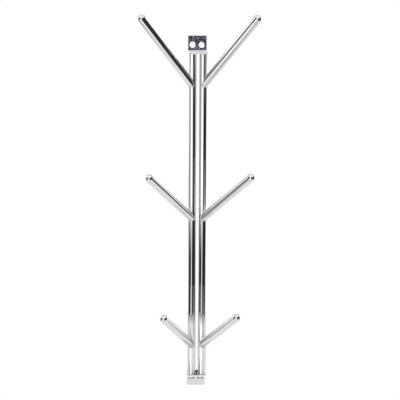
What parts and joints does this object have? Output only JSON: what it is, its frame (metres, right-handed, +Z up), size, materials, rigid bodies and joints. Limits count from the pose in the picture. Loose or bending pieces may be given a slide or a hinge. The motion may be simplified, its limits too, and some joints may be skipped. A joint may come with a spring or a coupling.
{
  "type": "wall hook rack",
  "caption": "Tree-shaped chrome wall rack: paired upright tubes between two angle brackets, with round domed arms rising outwards and forwards.",
  "frame": {"origin": "midway between the two screw holes of the top bracket, on the face that goes against the wall", "axes": "+Z up along the uprights, +X to the right of someone facing the rack, -Y out of the wall"},
  "size_m": [0.3154, 0.1812, 1.0231],
  "materials": {
    "upright_chrome": "polished chrome plate on drawn steel tube",
    "bracket_chrome": "polished chrome plate on bent flat bar, faint buffing marks",
    "arm_chrome": "polished chrome plate on coped steel tube",
    "cap_chrome": "polished chrome plate on turned steel cap"
  },
  "bodies": {
    "root": {"left_upright": "upright_chrome", "right_upright": "upright_chrome", "top_wall_bracket": "bracket_chrome", "bottom_wall_bracket": "bracket_chrome", "top_left_arm": "arm_chrome", "top_left_end_cap": "cap_chrome", "top_right_arm": "arm_chrome", "top_right_end_cap": "cap_chrome", "middle_left_arm": "arm_chrome", "middle_left_end_cap": "cap_chrome", "middle_right_arm": "arm_chrome", "middle_right_end_cap": "cap_chrome", "bottom_left_arm": "arm_chrome", "bottom_left_end_cap": "cap_chrome", "bottom_right_arm": "arm_chrome", "bottom_right_end_cap": "cap_chrome"}
  },
  "joints": []
}
